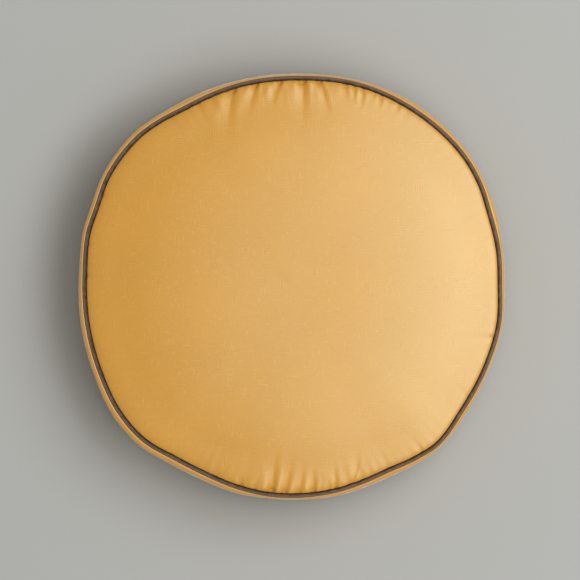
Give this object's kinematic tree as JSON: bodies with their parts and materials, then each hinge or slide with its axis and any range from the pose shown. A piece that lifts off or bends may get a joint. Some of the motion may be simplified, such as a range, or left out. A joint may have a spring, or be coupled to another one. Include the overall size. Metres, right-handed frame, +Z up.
{
  "type": "low round pouf cushion",
  "caption": "Low round floor cushion: crowned mustard cloth panels, a bulging gusset band around the side and a taupe piping cord in each seam.",
  "frame": {"origin": "middle of the outline's box, on the surface that the cushion lies on", "axes": "+Z up out of the top panel, +X to the right and +Y to the far side as it is seen from above"},
  "size_m": [0.4656, 0.464, 0.114],
  "materials": {
    "main_cloth": "mustard gold woven cloth with a soft lustre and fine slubs",
    "piping_cloth": "matt taupe bias strip over a cord"
  },
  "bodies": {
    "root": {"filled_body": "main_cloth", "gusset_band": "main_cloth", "piping_top": "piping_cloth", "piping_bottom": "piping_cloth"}
  },
  "joints": []
}
